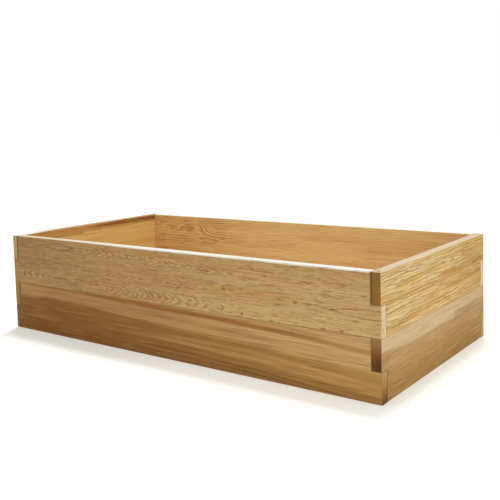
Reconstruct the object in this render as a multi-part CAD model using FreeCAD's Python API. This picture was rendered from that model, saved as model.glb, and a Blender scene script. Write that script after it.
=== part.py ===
"""Raised garden bed: a bottomless cedar box of two stacked courses of boards.

Every course has two long boards (front and back) and two short boards (left and right).
The boards meet in half-height finger joints. A long board keeps the lower half of its end
as a finger, a short board keeps the upper half, so the short boards' fingers sit on top of
the long boards' fingers and the outside faces are flush all round. A wooden dowel drops
through each corner, down the middle of all the fingers stacked there, and locks the four
corners. Drawn out again, the dowels let the boards lift off one by one.

Frame: millimetres, +X to the right, +Y to the back, +Z up. The origin is on the ground,
in the middle of the bed.
"""

import FreeCAD
import Part
import math
import os

Vector = FreeCAD.Vector

# ---- Driving sizes ----
BED_LENGTH = 1219.0  # outside, left to right: 4 ft
BED_WIDTH = 610.0  # outside, front to back: 2 ft
COURSES = ("lower", "upper")  # from the ground up
BOARD_HEIGHT = 139.7  # face of one board: 5-1/2 in
BOARD_THICKNESS = 24.0
ARRIS_RADIUS = 1.2  # rounding of a board's four long edges, as planed
END_EASE = 0.5  # chamfer round the end grain of each finger

FINGER_HEIGHT = 69.85  # lower finger, on the long boards: the rest is the upper finger
SHOULDER_GAP = 0.4  # between a finger's side and the shoulder beside it
REST_GAP = 0.3  # between the two fingers of a course, one above the other

PIN_DIAMETER = 9.5  # dowel: 3/8 in
PIN_CLEARANCE = 0.25  # all round the dowel in its bore
PIN_TOP_DEPTH = 1.0  # dowel's top below the bed's top edge
PIN_EASE = 0.8  # chamfer at both ends of a dowel

# ---- Sizes that follow ----
BED_HEIGHT = BOARD_HEIGHT * len(COURSES)
SHOULDER_SETBACK = BOARD_THICKNESS + SHOULDER_GAP
PIN_INSET = BOARD_THICKNESS / 2  # from both outside faces to the dowel's axis
PIN_LENGTH = BED_HEIGHT - PIN_TOP_DEPTH
BORE_RADIUS = PIN_DIAMETER / 2 + PIN_CLEARANCE
CUT_MARGIN = 5.0  # how far a cutting tool runs past the wood


def rounded_section(width, height, radius):
    """Face in the YZ plane: width along Y about the middle, height up from Z = 0, round corners."""
    half = width / 2
    centres = (
        (half - radius, radius, -90),
        (half - radius, height - radius, 0),
        (-half + radius, height - radius, 90),
        (-half + radius, radius, 180),
    )
    edges = []
    for y, z, first in centres:
        start, middle, end = (
            Vector(
                0,
                y + radius * math.cos(math.radians(angle)),
                z + radius * math.sin(math.radians(angle)),
            )
            for angle in (first, first + 45, first + 90)
        )
        if edges:
            edges.append(Part.LineSegment(edges[-1].EndPoint, start))
        edges.append(Part.Arc(start, middle, end))
    edges.append(Part.LineSegment(edges[-1].EndPoint, edges[0].StartPoint))
    return Part.Face(Part.Wire([edge.toShape() for edge in edges]))


def blank(length):
    """A planed board along X, centred in X and Y, standing on Z = 0."""
    section = rounded_section(BOARD_THICKNESS, BOARD_HEIGHT, ARRIS_RADIUS)
    section.translate(Vector(-length / 2, 0, 0))
    return section.extrude(Vector(length, 0, 0))


def end_notch(length, side, bottom, top):
    """The block sawn off one end of a board, between two heights, to leave the finger."""
    inner = length / 2 - SHOULDER_SETBACK
    size = SHOULDER_SETBACK + CUT_MARGIN
    corner = Vector(
        inner if side > 0 else -inner - size,
        -BOARD_THICKNESS / 2 - CUT_MARGIN,
        bottom,
    )
    return Part.makeBox(size, BOARD_THICKNESS + 2 * CUT_MARGIN, top - bottom, corner)


def pin_bore(length, side):
    """The upright hole through one end of a board, on the corner's axis."""
    foot = Vector(side * (length / 2 - PIN_INSET), 0, -CUT_MARGIN)
    return Part.makeCylinder(BORE_RADIUS, BOARD_HEIGHT + 2 * CUT_MARGIN, foot)


def ease_ends(shape, length):
    """Chamfers the outline of the end grain at both ends of a board."""
    on_end = [
        edge
        for edge in shape.Edges
        if all(
            abs(abs(vertex.Point.x) - length / 2) < 1e-6 for vertex in edge.Vertexes
        )
        and abs(abs(edge.CenterOfMass.x) - length / 2) < 1e-6
    ]
    return shape.makeChamfer(END_EASE, on_end)


def board(length, finger):
    """A board along X with a finger and a pin bore at each end. finger is "low" or "high"."""
    if finger == "low":
        bottom, top = FINGER_HEIGHT, BOARD_HEIGHT + CUT_MARGIN
    else:
        bottom, top = -CUT_MARGIN, FINGER_HEIGHT + REST_GAP
    shape = blank(length)
    for side in (-1, 1):
        shape = shape.cut(end_notch(length, side, bottom, top))
        shape = shape.cut(pin_bore(length, side))
    return ease_ends(shape, length)


def long_board(course, side):
    """Front (side -1) or back (side 1) board of a course, in place."""
    shape = board(BED_LENGTH, "low")
    inset = BED_WIDTH / 2 - BOARD_THICKNESS / 2
    shape.translate(Vector(0, side * inset, course * BOARD_HEIGHT))
    return shape


def short_board(course, side):
    """Left (side -1) or right (side 1) board of a course, in place."""
    shape = board(BED_WIDTH, "high")
    shape.rotate(Vector(0, 0, 0), Vector(0, 0, 1), 90)
    inset = BED_LENGTH / 2 - BOARD_THICKNESS / 2
    shape.translate(Vector(side * inset, 0, course * BOARD_HEIGHT))
    return shape


def corner_pin(x_side, y_side):
    """The dowel of one corner: it stands on the ground and runs through every course."""
    radius = PIN_DIAMETER / 2
    profile = Part.makePolygon(
        [
            Vector(0, 0, 0),
            Vector(radius - PIN_EASE, 0, 0),
            Vector(radius, 0, PIN_EASE),
            Vector(radius, 0, PIN_LENGTH - PIN_EASE),
            Vector(radius - PIN_EASE, 0, PIN_LENGTH),
            Vector(0, 0, PIN_LENGTH),
            Vector(0, 0, 0),
        ]
    )
    shape = Part.Face(profile).revolve(Vector(0, 0, 0), Vector(0, 0, 1), 360)
    x = x_side * (BED_LENGTH / 2 - PIN_INSET)
    y = y_side * (BED_WIDTH / 2 - PIN_INSET)
    shape.translate(Vector(x, y, 0))
    return shape


def build():
    """Every piece of the bed by its name."""
    pieces = {}
    for course, level in enumerate(COURSES):
        pieces[f"front_board_{level}"] = long_board(course, -1)
        pieces[f"back_board_{level}"] = long_board(course, 1)
        pieces[f"left_board_{level}"] = short_board(course, -1)
        pieces[f"right_board_{level}"] = short_board(course, 1)
    for y_name, y_side in (("front", -1), ("back", 1)):
        for x_name, x_side in (("left", -1), ("right", 1)):
            pieces[f"corner_pin_{y_name}_{x_name}"] = corner_pin(x_side, y_side)
    return pieces


os.makedirs("parts", exist_ok=True)
for name, piece in build().items():
    print(f"{name}: solids {len(piece.Solids)}, volume {piece.Volume:.0f} mm3")
    piece.exportStep(f"parts/{name}.step")
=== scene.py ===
"""Looks of a raised garden bed: cedar boards in two courses, finger joints pinned by dowels.

The boards and dowels come from the frame, at their real size. This script gives each board
its own timber, with growth rings, colour bands, a knot and pale planed edges that run through
the wood; the palest top edges and the paler arrises are partly painted highlight. It sets the
bed on a pale floor under soft light, with a paler patch of floor as painted light that lightens
the bed's shadow in front of its right half. Places and lengths in the timber are in
millimetres: along from the board's left or front end, height up from its bottom edge, below
down from its top edge, and depth in from its outside face.
"""

import math

import bpy
from mathutils import Matrix, Vector


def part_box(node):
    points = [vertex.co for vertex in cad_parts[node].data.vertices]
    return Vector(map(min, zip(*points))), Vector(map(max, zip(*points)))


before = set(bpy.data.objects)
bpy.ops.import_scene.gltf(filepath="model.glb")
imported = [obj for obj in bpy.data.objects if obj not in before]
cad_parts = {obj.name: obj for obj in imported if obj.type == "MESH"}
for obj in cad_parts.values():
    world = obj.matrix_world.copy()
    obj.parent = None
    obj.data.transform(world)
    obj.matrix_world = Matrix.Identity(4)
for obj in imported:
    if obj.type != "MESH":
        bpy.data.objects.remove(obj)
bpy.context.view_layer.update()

MM = 1000.0  # millimetres in a metre

# ---- Camera: a long lens a little above the bed, with its frame dropped ----
CAMERA_PLACE = Vector((1.2884, -1.6537, 0.5779))
CAMERA_HEADING = math.radians(-36.66)  # from straight back towards the left
CAMERA_PITCH = math.radians(-5.10)
CAMERA_ROLL = math.radians(-1.66)
SENSOR = 36.0
LENS = 53.43
FRAME_DROP = -0.1097

# ---- Light: an even sky, a lamp high up behind the bed and a weak one in front ----
SKY_STRENGTH = 0.61
LAMPS = {
    # name: (direction it shines from, strength, spread)
    "lamp_behind": (Vector((-0.14, 0.28, 0.93)), 1.6, math.radians(12)),
    "lamp_in_front": (Vector((0.66, -0.42, 0.62)), 0.87, math.radians(40)),
}
FLOOR_TINT = (0.79, 0.80, 0.745, 1.0)
# painted light: a paler floor before the right half of the bed, which lightens the bed's shadow
# there
FLOOR_PALER = (0.94, 0.95, 0.90, 1.0)  # before the right half of the bed
PALER_START = 0.15  # metres along X, as the two below
PALER_END = 0.50
PALER_FADE = 0.45
FLOOR_LIFT = 0.18  # added where the camera sees the floor, so that it shows white
FLOOR_REACH = 30.0

# ---- Timber ----
SHOULDER = 24.4  # millimetres from a board's end to where its finger starts
SEED_STEP = 17.3  # how far apart in the noise two boards are cut
WOOD_SHINE = 0.15  # planed and unfinished; varnish has 0.5
DOWEL_SHINE = 0.4  # sanded smooth
KNOT_SHARE = 0.75
# painted highlight and wear: the edges where two faces meet are paler, partly rubbed and partly
# catching the light
WEAR_AND_HIGHLIGHT_SHARE = 0.35  # paler along the edges where two faces meet
WEAR_AND_HIGHLIGHT_WIDTH = 1.8
SEAM_SHARE = 0.4  # darker along the joint between the two courses
JOINT_SHARE = 0.25  # darker in the line between two fingers


def tone(red, green, blue):
    """A colour written as it shows on screen, 0 to 255 each, as a shader's linear colour."""
    linear = []
    for part in (red, green, blue):
        share = part / 255
        if share <= 0.04045:
            linear.append(share / 12.92)
        else:
            linear.append(((share + 0.055) / 1.055) ** 2.4)
    return (*linear, 1.0)


class Reading:
    """A number that changes over a surface. Arithmetic on it adds the nodes to work it out."""

    def __init__(self, nodes, socket):
        self.nodes = nodes
        self.socket = socket

    def math(self, operation, *values):
        return self.nodes.add(
            "ShaderNodeMath", {"operation": operation}, dict(enumerate(values))
        )

    def __add__(self, other):
        return self.math("ADD", self, other)

    def __radd__(self, other):
        return self.math("ADD", other, self)

    def __sub__(self, other):
        return self.math("SUBTRACT", self, other)

    def __rsub__(self, other):
        return self.math("SUBTRACT", other, self)

    def __mul__(self, other):
        return self.math("MULTIPLY", self, other)

    def __rmul__(self, other):
        return self.math("MULTIPLY", other, self)

    def __truediv__(self, other):
        return self.math("DIVIDE", self, other)

    def __rtruediv__(self, other):
        return self.math("DIVIDE", other, self)

    def __pow__(self, other):
        return self.math("POWER", self, other)

    def __abs__(self):
        return self.math("ABSOLUTE", self)

    def least(self, other):
        return self.math("MINIMUM", self, other)

    def most(self, other):
        return self.math("MAXIMUM", self, other)

    def part(self):
        """What is left after the whole number."""
        return self.math("FRACT", self)

    def whole(self):
        """The whole number at or below this one."""
        return self.math("FLOOR", self)

    def rise(self, low, high):
        """0 below low, 1 above high, and a smooth climb between them."""
        return self.nodes.add(
            "ShaderNodeMapRange",
            {"interpolation_type": "SMOOTHSTEP"},
            {"Value": self, "From Min": low, "From Max": high},
        )

    def window(self, start, end, fade):
        """1 from start to end, and 0 a fade outside them."""
        return self.rise(start - fade, start) * (1 - self.rise(end, end + fade))

    def beside(self, name):
        """Another output of the same node."""
        return Reading(self.nodes, self.nodes.pick(self.socket.node.outputs, name))


class Nodes:
    """The node tree of a material or of the sky, and the ways to add to it."""

    def __init__(self, owner):
        owner.use_nodes = True
        self.tree = owner.node_tree
        self.tree.nodes.clear()

    @staticmethod
    def pick(sockets, key):
        if isinstance(key, int):
            return sockets[key]
        return next(s for s in sockets if key in (s.identifier, s.name))

    def add(self, kind, settings=None, inputs=None, output=0):
        """A node with its settings made first, then its sockets filled or linked."""
        node = self.tree.nodes.new(kind)
        for name, value in (settings or {}).items():
            if name == "stops":
                self.set_stops(node.color_ramp, value)
            else:
                setattr(node, name, value)
        for key, value in (inputs or {}).items():
            socket = self.pick(node.inputs, key)
            if isinstance(value, Reading):
                self.tree.links.new(value.socket, socket)
            else:
                socket.default_value = value
        return Reading(self, self.pick(node.outputs, output)) if node.outputs else None

    @staticmethod
    def set_stops(ramp, stops):
        while len(ramp.elements) < len(stops):
            ramp.elements.new(1.0)
        for element, (place, colour) in zip(ramp.elements, stops):
            element.position = place
            element.color = colour

    def blend(self, share, first, second):
        """The first colour where share is 0, the second where it is 1."""
        return self.add(
            "ShaderNodeMix",
            {"data_type": "RGBA"},
            {"Factor_Float": share, "A_Color": first, "B_Color": second},
            "Result_Color",
        )

    def vector(self, x, y, z):
        return self.add("ShaderNodeCombineXYZ", None, {0: x, 1: y, 2: z})

    def noise(self, place, detail=2.0, roughness=0.5):
        """A smooth random number about 0.5, one unit of place to a swelling."""
        return self.add(
            "ShaderNodeTexNoise",
            {"noise_dimensions": "3D"},
            {"Vector": place, "Scale": 1.0, "Detail": detail, "Roughness": roughness},
        )

    def chance(self, number):
        """A random number from 0 to 1 for each whole number."""
        return self.add(
            "ShaderNodeTexWhiteNoise",
            {"noise_dimensions": "1D"},
            {"W": number.whole()},
        )

    def seen(self):
        """1 for what the camera sees, straight or mirrored, and 0 for the light itself."""
        ray = self.add("ShaderNodeLightPath", None, None, "Is Camera Ray")
        return ray.most(ray.beside("Is Glossy Ray"))


class Finish(Nodes):
    """One material."""

    def __init__(self, name):
        self.material = bpy.data.materials.new(name)
        super().__init__(self.material)

    def surface(self, colour, roughness, height_mm, shine):
        """The shader and its output, with the relief's height in millimetres."""
        normal = self.add(
            "ShaderNodeBump", None, {"Distance": 1 / MM, "Height": height_mm}
        )
        shader = self.add(
            "ShaderNodeBsdfPrincipled",
            None,
            {
                "Base Color": colour,
                "Roughness": roughness,
                "Normal": normal,
                "Specular IOR Level": shine,
            },
        )
        self.add("ShaderNodeOutputMaterial", None, {"Surface": shader})
        return self.material


class Timber(Finish):
    """The wood of one board, known all through and not only on its faces."""

    def __init__(self, name, node, seed):
        super().__init__(name)
        low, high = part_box(node)
        size = high - low
        runs = 0 if size.x > size.y else 1  # along X or along Y
        thick = 1 - runs
        at = self.add("ShaderNodeTexCoord", None, None, "Object")
        split = self.add("ShaderNodeSeparateXYZ", None, {0: at})
        flat = (split, split.beside("Y"))
        self.length = size[runs] * MM
        self.thickness = size[thick] * MM
        self.face = size.z * MM
        self.half = self.face / 2
        self.along = (flat[runs] - low[runs]) * MM
        self.height = (split.beside("Z") - low.z) * MM
        self.below = self.face - self.height
        if low[thick] < 0:
            self.depth = (flat[thick] - low[thick]) * MM
        else:
            self.depth = (high[thick] - flat[thick]) * MM
        turned = self.add("ShaderNodeSeparateXYZ", None, {0: at.beside("Normal")})
        self.on_end = abs(turned.beside("XY"[runs])).rise(0.55, 0.85)  # cut across the fibres
        self.on_edge = abs(turned.beside("Z")).rise(0.75, 0.95)  # top and bottom
        self.seed = seed * SEED_STEP
        self.reach = self.height  # how far out in the tree, so that rings can be counted
        self.knots = []
        nearest_end = self.along.least(self.length - self.along)
        if runs == 0:
            notch = self.half - self.height
        else:
            notch = self.height - self.half
        self.from_notch = (nearest_end - SHOULDER).most(notch)
        self.from_seam = self.height if node.endswith("upper") else self.below

    def luck(self, along, height, shift, detail=1.0, roughness=0.5):
        """A random number about 0.5 that swells over these lengths. shift picks another."""
        place = self.vector(
            self.along / along + (self.seed + shift),
            self.height / height + shift,
            self.depth / height + self.seed,
        )
        return self.noise(place, detail, roughness)

    def sway(self, amount, along, height, shift):
        """Bends the rings at random, up to about amount either way."""
        bend = (self.luck(along, height, shift) - 0.5) * (amount * 3.0)
        self.reach = self.reach + bend

    def near(self, along, height, wide, high):
        """0 at a place, 1 on an oval round it and more outside."""
        off = (self.along - along) / wide
        up = (self.height - height) / high
        return off * off + up * up

    def whorl(self, along, height, wide, high, push):
        """Rings that swell round a place."""
        self.reach = self.reach + push / (1 + self.near(along, height, wide, high)) ** 2

    def arch(self, climb, drop, lift, low, high):
        """Rings that climb and drop again along the board, fully only above high.

        climb and drop are where each starts and ends along the board.
        """
        bump = self.along.rise(*climb) * (1 - self.along.rise(*drop)) * lift
        self.reach = self.reach - bump * self.height.rise(low, high)

    def knot(self, along, height, wide, high):
        """The reddish core of a knot."""
        uneven = (self.luck(20, 7, 17.0, 2.0) - 0.5) * 2.2
        inside = 1 - (self.near(along, height, wide, high) + uneven).rise(-0.1, 1.9)
        self.knots.append(inside)

    def rings(self, width, early=0.35):
        """How dark the late wood of each ring is, 0 to 1. early is the pale share of a ring."""
        turns = self.reach / width
        inside = turns.part()
        dark = inside.rise(early, 0.88) * (1 - inside.rise(0.92, 1.0))
        return dark * (0.4 + self.chance(turns) * 0.6)

    def peaks(self, level, half, lead, spacing, start, end, shift):
        """A row of nested peaks, as where rings touch a face: 1 is dark and -1 pale.

        The row lies at a level, half its height either way, from start to end. Its peaks are
        a spacing apart, and their tips lead the ends of their legs by lead.
        """
        off = abs(self.height - level) / half
        bow = self.luck(22, 7, shift) * 1.2 + self.luck(90, 60, shift + 3) * 1.6
        turns = (self.along + off**1.4 * lead) / spacing + bow
        inside = turns.part()
        line = inside.rise(0.40, 0.64) * (1 - inside.rise(0.70, 0.92))
        gap = inside.rise(0.0, 0.1) * (1 - inside.rise(0.24, 0.38))
        row = self.along.window(start, end, 30) * (1 - off.rise(0.5, 1.2))
        worn_out = self.luck(20, 4, shift + 5, 2.0).rise(0.34, 0.56)
        line = line * (0.45 + self.chance(turns) * 0.55) * (0.25 + worn_out * 0.75)
        return (line - gap * 0.35) * row

    def loop(self, along, height, long, high, width):
        """The outline of one pointed loop of grain, long and high to either side."""
        bow = (self.luck(45, 14, 23.0) - 0.5) * 8
        off = (self.along - along + bow) / long
        ring = off * off + abs(self.height - height + bow * 0.4) / high
        broken = self.luck(30, 6, 24.0).rise(0.25, 0.5)
        return (1 - abs(ring - 1).rise(width * 0.3, width)) * broken

    def marks(self, places):
        """Small dark spots, each as (along, height, half length, half height)."""
        spots = 0.0
        bent = self.height + (self.luck(13, 6, 28.0) - 0.5) * 7
        for along, height, long, high in places:
            off = (self.along - along) / (long * 1.3)
            up = (bent - height) / high
            spots = (1 - off * off - up * up).most(spots)
        uneven = self.luck(7, 2.2, 27.0, 2.0) - 0.5
        return (spots + uneven * 1.6 * spots.rise(0.0, 0.2)).rise(0.0, 0.8)

    def stripe(self, across, level, half):
        """1 along one level of a banded board, and 0 from half to either side."""
        return 1 - abs(across - level).rise(half * 0.25, half)

    def stripes(self, colour, across, places):
        """Adds stripes to a colour, each as (level, half width, share, tone)."""
        for level, half, share, tint in places:
            colour = self.blend(self.stripe(across, level, half) * share, colour, tint)
        return colour

    def bands(self, across, stops):
        """Colours side by side, as (millimetres across, tone)."""
        first, last = stops[0][0], stops[-1][0]
        placed = [((mm - first) / (last - first), colour) for mm, colour in stops]
        share = (across - first) / (last - first)
        return self.add("ShaderNodeValToRGB", {"stops": placed}, {"Fac": share}, "Color")

    def arris(self):
        """1 on the edges of the board, where two faces meet."""
        inward = self.depth.least(self.thickness - self.depth)
        upward = self.height.least(self.face - self.height)
        endward = self.along.least(self.length - self.along)
        nearer = inward.least(upward)
        farther = inward.most(upward)
        second = nearer.most(farther.least(endward))
        return 1 - second.rise(0.2, WEAR_AND_HIGHLIGHT_WIDTH)

    def end_grain(self, late, speckle, tones):
        """The colour of a board's ends, where its fibres are cut across."""
        inward = self.depth.least(self.thickness - self.depth)
        vein_place = self.luck(400, 60, 41.0) * 6 + self.depth / 3.4
        vein = self.noise(self.vector(vein_place, self.height / 28, self.seed))
        colour = self.bands(self.height, tones["end"])
        colour = self.blend(late * 0.3, colour, tones["late"])
        colour = self.blend(speckle.rise(0.45, 0.75) * 0.5, colour, tones["late"])
        colour = self.blend((1 - inward.rise(0.4, 2.2)) * 0.5, colour, tones["late"])
        colour = self.blend(vein.rise(0.5, 0.72) * 0.45, colour, tones["late"])
        # painted shade: a dark border along the inner side of the end, at the shoulder beside
        # the next board
        if "shoulder" in tones:
            shoulder = 1 - (self.thickness - self.depth).rise(3.5, 7.5)
            colour = self.blend(shoulder * 0.8, colour, tones["shoulder"])
        return colour

    def finish_cut(self, colour, late, tones, contrast, streaks=0.4):
        """The board's material, from its own colour and where its late wood is.

        tones has the colour of pale and late wood, of the planed edges, paler in part as a
        painted highlight, and of the ends by height. It may have a knot's, a dark shoulder's,
        which is painted shade, and how strong the seam is, too.
        """
        fibre = self.luck(160, 1.3, 9.0, 3.0, 0.6)
        hair = self.luck(35, 0.7, 13.0)
        streak = self.luck(90, 3.2, 31.0, 3.0, 0.6)
        speckle = self.luck(2.4, 1.1, 5.0, 2.0, 0.7)
        colour = self.blend(late * contrast, colour, tones["late"])
        colour = self.blend(streak.rise(0.5, 0.74) * streaks, colour, tones["late"])
        colour = self.blend(streak.rise(0.5, 0.26) * streaks * 0.8, colour, tones["pale"])
        colour = self.blend(fibre.rise(0.5, 0.75) * 0.26, colour, tones["late"])
        colour = self.blend(fibre.rise(0.5, 0.25) * 0.20, colour, tones["pale"])
        colour = self.blend(hair.rise(0.6, 0.75) * 0.12, colour, tones["late"])
        for core in self.knots:
            colour = self.blend(core * KNOT_SHARE, colour, tones["knot"])
        # paler arrises: wear, and partly a painted highlight
        colour = self.blend(self.arris() * WEAR_AND_HIGHLIGHT_SHARE, colour, tones["pale"])
        seam = 1 - self.from_seam.rise(0.4, 2.0)
        colour = self.blend(seam * tones.get("seam", SEAM_SHARE), colour, tones["late"])
        # the top and bottom faces: planed, and paler still as a painted highlight where the
        # light catches them
        planed = self.blend(fibre.rise(0.4, 0.7) * 0.3, tones["edge"], tones["pale"])
        colour = self.blend(self.on_edge, colour, planed)
        colour = self.blend(self.on_end, colour, self.end_grain(late, speckle, tones))
        joint = 1 - self.from_notch.rise(0.3, 2.0)
        colour = self.blend(joint * JOINT_SHARE, colour, JOINT_SHADE)
        rough = 0.58 + self.on_end * 0.25 - late * 0.06 + fibre * 0.08
        relief = late * 0.10 + fibre * 0.22 + hair * 0.06 + speckle * self.on_end * 0.3
        return self.surface(colour, rough, relief, WOOD_SHINE)


JOINT_SHADE = tone(70, 44, 24)  # dust and shade in the line between two fingers
# planed top edges, made near-white partly as a painted highlight
PLANED_EDGE_AND_HIGHLIGHT = tone(227, 225, 217)


def front_upper_cedar(wood):
    """Greyish tan and flat sawn: rows of nested peaks, and dashes between them."""
    wood.sway(2.6, 240, 26, 1.0)
    wood.sway(1.3, 30, 6, 2.0)
    lines = wood.rings(4.4, 0.45) * wood.luck(44, 9, 8.0).rise(0.46, 0.62)
    dashes = wood.luck(24, 3.0, 6.0).rise(0.56, 0.66)
    light_dashes = wood.luck(30, 3.4, 16.0).rise(0.55, 0.70)
    middle_level = 116 - (wood.along - 400) * 0.037
    rows = (
        wood.peaks(middle_level, 14, 46, 27, 340, 780, 1.0) * 0.9
        + wood.peaks(59, 9, 26, 24, 400, 740, 2.0) * 0.6
        + wood.peaks(18, 15, 26, 20, 400, 640, 3.0)
        + wood.peaks(18, 15, 26, 31, 660, 760, 3.5)
        + wood.peaks(29, 10, -13, 31, 45, 150, 4.0)
    )
    loops = (
        wood.loop(211, 119, 61, 9, 0.30)
        .most(wood.loop(1192, 48, 90, 10, 0.22) * 0.7)
        .most(wood.loop(275, 29, 30, 6, 0.35) * wood.along.rise(270, 280))
        .most(wood.loop(780, 16, 26, 11, 0.30) * wood.along.rise(792, 800))
    )
    spots = wood.marks(
        [
            (50, 112, 18, 2.4),
            (106, 104, 12, 1.8),
            (262, 120, 12, 2.6),
            (165, 114, 14, 2.0),
            (240, 73, 50, 1.8),
            (287, 70, 10, 2.6),
            (310, 129, 12, 2.4),
            (308, 114, 9, 2.2),
            (300, 32, 12, 2.6),
            (338, 25, 6, 2.4),
            (363, 25, 8, 2.8),
            (272, 16, 22, 2.2),
            (216, 29, 34, 2.4),
            (395, 122, 10, 2.6),
            (415, 60, 8, 3.0),
            (470, 58, 10, 2.4),
            (483, 118, 10, 2.4),
            (535, 58, 9, 2.8),
            (572, 117, 5, 4.6),
            (665, 52, 10, 2.4),
            (695, 52, 8, 2.8),
            (740, 101, 8, 3.0),
            (829, 101, 10, 4.0),
            (808, 62, 7, 4.2),
            (860, 8, 4, 7.0),
            (890, 94, 18, 2.0),
            (925, 103, 10, 2.6),
            (936, 85, 18, 2.4),
            (1040, 101, 20, 3.0),
            (1095, 88, 11, 2.4),
            (970, 54, 10, 2.6),
            (1010, 54, 8, 3.6),
            (1047, 53, 7, 3.6),
            (1103, 49, 6, 3.2),
            (942, 3, 7, 2.6),
            (1080, 4, 7, 3.4),
            (1126, 5, 6, 3.6),
        ]
    )
    late = (lines * 0.55 + dashes * 0.50 + rows.most(0.0) + loops * 0.9).least(1.0)
    light = ((0 - rows).most(0.0) + light_dashes * 0.35).least(1.0)
    # lighter towards the right: the wood's own tone, and partly painted light
    colour = wood.blend(wood.along.rise(0, 500), tone(148, 113, 71), tone(174, 137, 88))
    colour = wood.blend(wood.along.rise(450, 1150), colour, tone(195, 161, 109))
    shaded = wood.height.rise(85, 115) * wood.along.rise(80, 300)
    colour = wood.blend(shaded * 0.3, colour, tone(168, 132, 84))
    corner = wood.height.rise(54, 36) * (1 - wood.along.rise(120, 320))
    colour = wood.blend(corner * 0.35, colour, tone(186, 150, 100))
    warm = wood.luck(300, 22, 4.0, 2.0).rise(0.45, 0.7)
    colour = wood.blend(warm * 0.45, colour, tone(176, 129, 80))
    orange = wood.height.window(54, 66, 6) * wood.along.window(790, 980, 90)
    colour = wood.blend(orange * 0.5, colour, tone(191, 142, 81))
    sunny = wood.height.rise(50, 20) * wood.along.rise(500, 800)
    colour = wood.blend(sunny * 0.45, colour, tone(210, 178, 119))
    colour = wood.blend(light, colour, tone(206, 178, 118))
    colour = wood.blend(spots * 0.65, colour, tone(142, 86, 42))
    # painted highlight: a near-white strip along the top of the face, below the top edge
    lip = (1 - wood.below.rise(1.6, 4.0)) * wood.along.rise(250, 560)
    colour = wood.blend(lip * 0.85, colour, tone(250, 248, 240))
    tones = {
        "pale": tone(208, 178, 124),
        "late": tone(124, 76, 38),
        "edge": wood.blend(wood.along.rise(100, 560), tone(206, 187, 160), PLANED_EDGE_AND_HIGHLIGHT),
        "end": [(0, tone(235, 214, 172)), (139.7, tone(230, 208, 166))],
        "seam": wood.along.rise(850, 1150) * 0.6 + 0.3,
    }
    return wood.finish_cut(colour, late, tones, 0.75, 0.35)


def front_lower_cedar(wood):
    """Quarter sawn: pinkish sapwood over brown heart, in bands that dip to the right."""
    dip = wood.along * 0.022 + wood.along.rise(850, 1300) * (10 + wood.below * 0.06)
    wander = (wood.luck(240, 40, 1.0) - 0.5) * 6 + (wood.luck(60, 8, 2.0) - 0.5) * 2.0
    across = wood.below - dip + wander
    wood.reach = across
    sapwood = tone(172, 128, 81)
    gold = tone(145, 92, 38)
    dark = tone(120, 80, 32)
    darker = tone(98, 62, 24)
    tan = tone(196, 148, 84)
    light = tone(208, 160, 100)
    dark_left = wood.blend(across.rise(60, 130), tone(128, 86, 34), tone(127, 81, 28))
    lit_right = wood.blend(across.rise(60, 130), tone(194, 148, 84), tone(184, 136, 72))
    heart = wood.blend(wood.along.rise(150, 1100), dark_left, lit_right)
    turn = 37 - wood.along.window(150, 330, 60) * 9
    lit_sap = wood.blend(wood.along.rise(500, 1100), sapwood, tone(208, 168, 112))
    colour = wood.blend((across - turn).rise(-6, 8), lit_sap, heart)
    far = 1 - wood.along.rise(900, 1200) * 0.4
    right = wood.along.rise(350, 700) * far
    colour = wood.stripes(
        colour,
        across,
        [
            (-5, 9, far * 0.9, gold),
            (-17, 4, right * 0.5, tan),
            (20, 8, right * 0.30, gold),
            (34, 4, right * 0.55, light),
            (39, 7, (1 - right) * 0.55, dark),
            (50, 9, right * 0.42, dark),
            (66, 8, right * 0.30, tan),
            (75, 5, right * 0.60, light),
            (87, 9, right * 0.42, dark),
            (99, 4, right * 0.60, darker),
            (109, 4, right * 0.50, darker),
        ],
    )
    patch = wood.luck(150, 14, 5.0, 2.0)
    colour = wood.blend(patch.rise(0.5, 0.75) * 0.35, colour, dark)
    colour = wood.blend(patch.rise(0.5, 0.25) * 0.20, colour, tan)
    middle = wood.along.window(480, 860, 160) * wood.below.rise(44, 66)
    colour = wood.blend(middle * 0.19, colour, darker)
    foot = wood.below.rise(104, 136) * right * 0.40
    colour = wood.blend(foot, colour, tone(114, 75, 37))
    lines = wood.luck(190, 2.8, 6.0, 2.0).rise(0.50, 0.68)
    late = (wood.rings(4.2, 0.3) * 0.6 + lines * 0.7).least(1.0)
    tones = {
        "pale": tone(205, 156, 84),
        "late": tone(98, 60, 22),
        "edge": tone(190, 160, 118),
        "end": [
            (0, tone(99, 66, 33)),
            (14, tone(139, 99, 51)),
            (40, tone(180, 138, 79)),
            (66, tone(199, 160, 100)),
            (139.7, tone(199, 160, 100)),
        ],
    }
    return wood.finish_cut(colour, late, tones, 0.32, 0.3)


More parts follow.
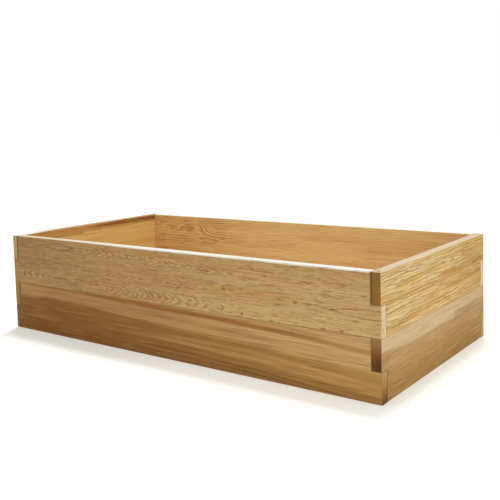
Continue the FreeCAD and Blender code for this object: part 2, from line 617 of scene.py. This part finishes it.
def right_upper_cedar(wood):
    """Pale yellow with strong wavy golden lines that crowd towards the back."""
    wood.sway(5.5, 170, 30, 1.0)
    wood.sway(2.8, 55, 13, 2.0)
    wood.sway(1.4, 20, 6, 3.0)
    broken = wood.luck(110, 3.6, 6.0, 2.0).rise(0.46, 0.62)
    late = (wood.rings(7.4, 0.25) + broken * 0.35).least(1.0)
    level = wood.below + (wood.luck(120, 40, 7.0) - 0.5) * 10
    straw = tone(232, 203, 146)
    gold = tone(198, 148, 62)
    brown = tone(150, 100, 38)
    colour = wood.blend(wood.luck(160, 18, 8.0).rise(0.35, 0.65), straw, tone(220, 184, 112))
    back = wood.along.rise(250, 560)
    front = 1 - wood.along.rise(150, 330)
    colour = wood.stripes(
        colour,
        level,
        [
            (8, 9, 0.12 + back * 0.2, gold),
            (20, 18, front * 0.45, tone(242, 222, 178)),
            (60, 9, wood.along.rise(280, 350) * 0.5, tone(160, 108, 46)),
            (63, 5, wood.along.rise(470, 540) * 0.5, tone(150, 92, 48)),
            (70, 5, 0.60, gold),
            (78, 30, wood.along.window(330, 480, 60) * 0.25, gold),
            (88, 17, front * 0.35, tone(242, 222, 178)),
            (91, 9, 0.10 + back * 0.6, gold),
            (91, 6, wood.along.rise(480, 590) * 0.6, brown),
            (123, 8, 0.20 + front * 0.45, gold),
            (45, 3, wood.along.window(480, 530, 20) * 0.8, brown),
        ],
    )
    colour = wood.blend(back * 0.5, colour, tone(190, 145, 72))
    olive = back * (1 - wood.below.rise(12, 30))
    colour = wood.blend(olive * 0.6, colour, tone(212, 184, 110))
    dark = wood.luck(70, 4.0, 12.0, 2.0).rise(0.54, 0.68)
    colour = wood.blend(dark * (back * 0.35 + 0.25), colour, brown)
    spots = wood.marks(
        [
            (512, 113, 13, 2.4),
            (505, 97, 22, 2.2),
            (462, 96, 16, 1.8),
            (520, 87, 20, 2.4),
            (395, 84, 13, 3.6),
            (575, 82, 20, 2.6),
            (540, 76, 22, 2.6),
            (570, 46, 16, 4.6),
            (530, 42, 26, 2.2),
            (388, 107, 8, 2.4),
            (330, 107, 9, 2.4),
            (335, 22, 12, 2.0),
            (365, 13, 15, 2.0),
            (95, 13, 45, 2.2),
            (85, 96, 18, 1.8),
            (95, 81, 15, 2.2),
        ]
    )
    colour = wood.blend(spots * 0.75, colour, tone(142, 96, 40))
    tones = {
        "pale": tone(245, 225, 176),
        "late": tone(164, 116, 42),
        "edge": tone(196, 176, 150),
        "end": [
            (69.8, tone(128, 93, 46)),
            (105, tone(133, 96, 52)),
            (139.7, tone(121, 87, 46)),
        ],
        # painted shade at the shoulder
        "shoulder": tone(110, 78, 41),
    }
    return wood.finish_cut(colour, late, tones, 0.85, 0.55)


def right_lower_cedar(wood):
    """Pinkish tan above golden brown, with a reddish streak from the back end."""
    wander = (wood.luck(200, 40, 1.0) - 0.5) * 7 + (wood.luck(50, 8, 2.0) - 0.5) * 2.0
    across = wood.below + wander
    wood.reach = across
    rose = tone(214, 186, 144)
    tan = tone(188, 152, 98)
    gold = tone(170, 128, 66)
    colour = wood.blend((across - wood.along.rise(0, 150) * 9).rise(24, 36), rose, tan)
    back = wood.along.rise(250, 580)
    colour = wood.blend(back * 0.5, colour, tone(190, 156, 112))
    colour = wood.blend(across.rise(48, 108), colour, tone(172, 132, 68))
    colour = wood.stripes(
        colour,
        across,
        [
            (46, 6, 0.35, tone(176, 138, 86)),
            (79, 7, 0.55, gold),
            (97, 5, wood.along.rise(80, 200) * 0.30, gold),
            (110, 6, 0.30, tone(148, 106, 50)),
            (124, 5, 0.30, tone(150, 104, 52)),
        ],
    )
    colour = wood.blend(across.rise(76, 120) * 0.22, colour, tone(156, 112, 48))
    streak = wood.along.rise(392, 400) * (across.rise(25, 28) - across.rise(46, 60))
    colour = wood.blend(streak * 0.5, colour, tone(162, 118, 80))
    far = wood.along.rise(150, 560) * across.rise(40, 70)
    colour = wood.blend(far * 0.5, colour, tone(152, 110, 44))
    near = (1 - wood.along.rise(20, 60)) * across.rise(26, 34)
    colour = wood.blend(near * 0.3, colour, tone(140, 102, 60))
    lines = wood.luck(150, 2.8, 6.0, 2.0).rise(0.50, 0.68)
    late = (wood.rings(4.2, 0.3) * 0.5 + lines * 0.7).least(1.0)
    tones = {
        "pale": tone(226, 196, 148),
        "late": tone(140, 94, 40),
        "edge": tone(210, 180, 134),
        "end": [
            (69.8, tone(67, 42, 20)),
            (87, tone(74, 46, 21)),
            (97, tone(89, 55, 27)),
            (108, tone(117, 79, 39)),
            (120, tone(137, 102, 56)),
            (139.7, tone(158, 123, 74)),
        ],
    }
    return wood.finish_cut(colour, late, tones, 0.28)


def back_upper_cedar(wood):
    """Orange tan, with a big reddish knot near the left end and loops of grain round it."""
    wood.sway(2.4, 240, 30, 1.0)
    wood.sway(0.9, 50, 8, 2.0)
    wood.arch((20, 200), (228, 312), 42, 63, 126)
    wood.whorl(333, 60, 30, 13, 11)
    wood.whorl(242, 55, 26, 9, 11)
    wood.knot(191, 98, 25, 15)
    near = 1 - wood.along.rise(300, 460)
    patchy = 0.35 + wood.luck(70, 14, 9.0).rise(0.38, 0.62) * 0.65
    behind = wood.along.window(240, 345, 14) * wood.height.rise(48, 66)
    rings = wood.rings(7.8, 0.45) * (near + 0.2) * patchy.most(behind)
    broken = wood.luck(60, 3.2, 6.0, 2.0).rise(0.50, 0.68)
    faint = wood.peaks(122, 12, 26, 15, 560, 700, 1.0) * 0.4
    spots = wood.marks(
        [
            (122, 91, 34, 2.0),
            (184, 123, 18, 1.8),
            (224, 80, 15, 2.0),
            (198, 54, 11, 2.4),
            (172, 56, 18, 1.4),
            (303, 60, 5, 6.0),
            (255, 54, 9, 3.0),
            (100, 104, 14, 2.0),
        ]
    )
    faint = faint.most(spots * 0.5)
    late = (rings + broken * (near * 0.2 + 0.16) + faint).least(1.0)
    colour = wood.blend(
        wood.along.rise(30, 420), tone(231, 184, 112), tone(235, 191, 124)
    )
    warm = wood.luck(280, 26, 4.0, 2.0).rise(0.42, 0.66)
    colour = wood.blend(warm * 0.55, colour, tone(222, 168, 104))
    tones = {
        "pale": tone(242, 209, 149),
        "late": tone(164, 100, 40),
        "knot": tone(190, 120, 62),
        "edge": PLANED_EDGE_AND_HIGHLIGHT,
        "end": [(0, tone(226, 206, 166)), (139.7, tone(226, 206, 166))],
    }
    return wood.finish_cut(colour, late, tones, 0.85, 0.5)


def back_lower_cedar(wood):
    """Reddish brown heartwood in straight bands."""
    across = wood.height + (wood.luck(300, 40, 1.0) - 0.5) * 14
    wood.reach = across
    colour = wood.bands(
        across,
        [
            (0, tone(176, 128, 78)),
            (30, tone(196, 148, 94)),
            (48, tone(168, 118, 70)),
            (70, tone(190, 142, 88)),
            (95, tone(178, 130, 80)),
            (139, tone(202, 156, 102)),
        ],
    )
    lines = wood.luck(190, 2.6, 6.0, 2.0).rise(0.48, 0.70)
    late = (wood.rings(3.2, 0.3) * 0.5 + lines * 0.7).least(1.0)
    tones = {
        "pale": tone(214, 170, 116),
        "late": tone(128, 82, 42),
        "edge": tone(200, 166, 118),
        "end": [(0, tone(190, 152, 98)), (139.7, tone(198, 162, 106))],
    }
    return wood.finish_cut(colour, late, tones, 0.35)


def left_upper_cedar(wood):
    """Gold, with a dark reddish streak along the top towards the back."""
    wood.sway(4.0, 220, 34, 1.0)
    wood.sway(1.2, 60, 10, 2.0)
    rings = wood.rings(6.0, 0.3)
    broken = wood.luck(70, 3.2, 6.0, 2.0).rise(0.50, 0.68)
    late = (rings * 0.5 + broken * 0.4).least(1.0)
    colour = wood.bands(
        wood.below + (wood.luck(90, 20, 4.0) - 0.5) * 10,
        [
            (0, tone(208, 158, 87)),
            (24, tone(224, 179, 105)),
            (44, tone(228, 187, 115)),
            (54, tone(223, 178, 100)),
            (70, tone(229, 186, 112)),
            (84, tone(218, 170, 89)),
            (100, tone(230, 187, 115)),
        ],
    )
    level = wood.below + (wood.luck(60, 12, 5.0, 2.0) - 0.5) * 10
    colour = wood.blend((1 - level.rise(17, 25)) * 0.7, colour, tone(182, 124, 60))
    line = wood.stripe(level, 23, 4) * wood.along.window(140, 240, 30)
    colour = wood.blend(line * 0.6, colour, tone(148, 94, 36))
    core = wood.stripe(level, 9, 7) * wood.along.rise(270, 340)
    colour = wood.blend(core * 0.85, colour, tone(124, 70, 26))
    deep = wood.along.rise(450, 540) * (1 - wood.below.rise(12, 18))
    colour = wood.blend(deep * 0.9, colour, tone(120, 66, 28))
    lip = wood.along.rise(300, 400) * (1 - wood.below.rise(2, 6))
    colour = wood.blend(lip * 0.8, colour, tone(142, 98, 62))
    tones = {
        "pale": tone(238, 206, 140),
        "late": tone(174, 120, 52),
        "edge": wood.blend(wood.along.rise(30, 140), PLANED_EDGE_AND_HIGHLIGHT, tone(168, 130, 96)),
        "end": [(69.8, tone(178, 154, 114)), (139.7, tone(178, 158, 121))],
        # painted shade at the shoulder
        "shoulder": tone(84, 54, 28),
    }
    return wood.finish_cut(colour, late, tones, 0.45)


def left_lower_cedar(wood):
    """Amber, flat sawn, with a broad low figure."""
    wood.sway(3.0, 240, 30, 1.0)
    wood.sway(1.0, 60, 10, 2.0)
    figure = wood.peaks(70, 26, 60, 22, 120, 480, 1.0)
    broken = wood.luck(60, 3.2, 6.0, 2.0).rise(0.50, 0.68)
    late = (wood.rings(5.0, 0.35) * 0.4 + broken * 0.3 + figure.most(0.0) * 0.6).least(1.0)
    broad = wood.luck(300, 34, 4.0).rise(0.35, 0.7)
    colour = wood.blend(broad, tone(206, 156, 92), tone(190, 138, 76))
    tones = {
        "pale": tone(222, 178, 116),
        "late": tone(150, 100, 48),
        "edge": tone(206, 168, 116),
        "end": [(69.8, tone(155, 122, 66)), (139.7, tone(157, 124, 72))],
        # painted shade at the shoulder
        "shoulder": tone(104, 72, 36),
    }
    return wood.finish_cut(colour, late, tones, 0.55)


def dowel_wood():
    """A cream rod with straight close grain, darker on its ends."""
    rod = Finish("dowel_wood")
    at = rod.add("ShaderNodeTexCoord", None, None, "Object")
    split = rod.add("ShaderNodeSeparateXYZ", None, {0: at})
    x, y, z = (split.beside(name) * MM for name in "XYZ")
    grain = rod.noise(rod.vector(x / 0.9, y / 0.9, z / 70), 3.0, 0.6)
    fleck = rod.noise(rod.vector(x / 0.5, y / 0.5, z / 5), 1.0).rise(0.62, 0.75)
    broad = rod.noise(rod.vector(x / 4, y / 4, z / 120), 1.0)
    turned = rod.add("ShaderNodeSeparateXYZ", None, {0: at.beside("Normal")})
    on_end = abs(turned.beside("Z")).rise(0.75, 0.95)
    colour = rod.blend(broad.rise(0.3, 0.7), tone(243, 234, 210), tone(236, 224, 194))
    colour = rod.blend(grain.rise(0.45, 0.75) * 0.35, colour, tone(216, 194, 154))
    colour = rod.blend(fleck * 0.3, colour, tone(200, 172, 128))
    colour = rod.blend(on_end * 0.6, colour, tone(196, 168, 122))
    return rod.surface(colour, 0.5 + grain * 0.15, grain * 0.12, DOWEL_SHINE)


def dress(node, material):
    """Gives a board or dowel of the frame its finish."""
    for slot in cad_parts[node].material_slots:
        slot.material = material


BOARDS = {
    # node: (material, how its timber looks)
    "front_board_upper": ("cedar_tan", front_upper_cedar),
    "front_board_lower": ("cedar_brown", front_lower_cedar),
    "right_board_upper": ("cedar_straw", right_upper_cedar),
    "right_board_lower": ("cedar_rose", right_lower_cedar),
    "back_board_upper": ("cedar_honey", back_upper_cedar),
    "back_board_lower": ("cedar_russet", back_lower_cedar),
    "left_board_upper": ("cedar_gold", left_upper_cedar),
    "left_board_lower": ("cedar_amber", left_lower_cedar),
}

for seed, (node, (name, look)) in enumerate(BOARDS.items(), start=1):
    dress(node, look(Timber(name, node, seed)))
dowel = dowel_wood()
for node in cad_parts:
    if node.startswith("corner_pin"):
        dress(node, dowel)


def make_floor():
    """A pale floor that shows white away from the bed and keeps the bed's shadow."""
    finish = Finish("pale_floor")
    at = finish.add("ShaderNodeTexCoord", None, None, "Object")
    across = finish.add("ShaderNodeSeparateXYZ", None, {0: at})
    # painted light: the paler floor lightens the shadow before the bed's right half
    paler = across.window(PALER_START, PALER_END, PALER_FADE)
    floor = finish.add(
        "ShaderNodeBsdfPrincipled",
        None,
        {
            "Base Color": finish.blend(paler, FLOOR_TINT, FLOOR_PALER),
            "Roughness": 0.9,
            "Specular IOR Level": 0.0,
            "Emission Color": (1.0, 1.0, 1.0, 1.0),
            "Emission Strength": finish.seen() * FLOOR_LIFT,
        },
    )
    finish.add("ShaderNodeOutputMaterial", None, {"Surface": floor})
    mesh = bpy.data.meshes.new("floor")
    corners = [(-1, -1), (1, -1), (1, 1), (-1, 1)]
    places = [(x * FLOOR_REACH, y * FLOOR_REACH, 0.0) for x, y in corners]
    mesh.from_pydata(places, [], [(0, 1, 2, 3)])
    mesh.materials.append(finish.material)
    piece = bpy.data.objects.new("floor", mesh)
    bpy.context.scene.collection.objects.link(piece)


def light_scene():
    """An even sky that shows white, and the lamps."""
    scene = bpy.context.scene
    scene.world = bpy.data.worlds.new("studio")
    nodes = Nodes(scene.world)
    sky = nodes.add(
        "ShaderNodeBackground",
        None,
        {
            "Color": (1.0, 1.0, 1.0, 1.0),
            "Strength": SKY_STRENGTH + nodes.seen() * (1 - SKY_STRENGTH),
        },
    )
    nodes.add("ShaderNodeOutputWorld", None, {"Surface": sky})
    for name, (source, strength, spread) in LAMPS.items():
        lamp = bpy.data.lights.new(name, "SUN")
        lamp.energy = strength
        lamp.angle = spread
        piece = bpy.data.objects.new(name, lamp)
        piece.rotation_mode = "QUATERNION"
        piece.rotation_quaternion = source.to_track_quat("Z", "Y")
        scene.collection.objects.link(piece)


def place_camera():
    """The camera, turned by heading, pitch and roll about its own place."""
    heading, pitch, roll = CAMERA_HEADING, CAMERA_PITCH, CAMERA_ROLL
    ahead = Vector(
        (
            math.sin(heading) * math.cos(pitch),
            math.cos(heading) * math.cos(pitch),
            math.sin(pitch),
        )
    )
    level = Vector((math.cos(heading), -math.sin(heading), 0.0))
    upright = level.cross(ahead)
    right = level * math.cos(roll) + upright * math.sin(roll)
    up = upright * math.cos(roll) - level * math.sin(roll)
    turn = Matrix((right, up, -ahead)).transposed()
    lens = bpy.data.cameras.new("camera")
    lens.sensor_width = SENSOR
    lens.lens = LENS
    lens.shift_y = FRAME_DROP
    camera = bpy.data.objects.new("camera", lens)
    camera.matrix_world = Matrix.Translation(CAMERA_PLACE) @ turn.to_4x4()
    bpy.context.scene.collection.objects.link(camera)
    bpy.context.scene.camera = camera


make_floor()
light_scene()
place_camera()
bpy.context.scene.view_settings.view_transform = "Standard"
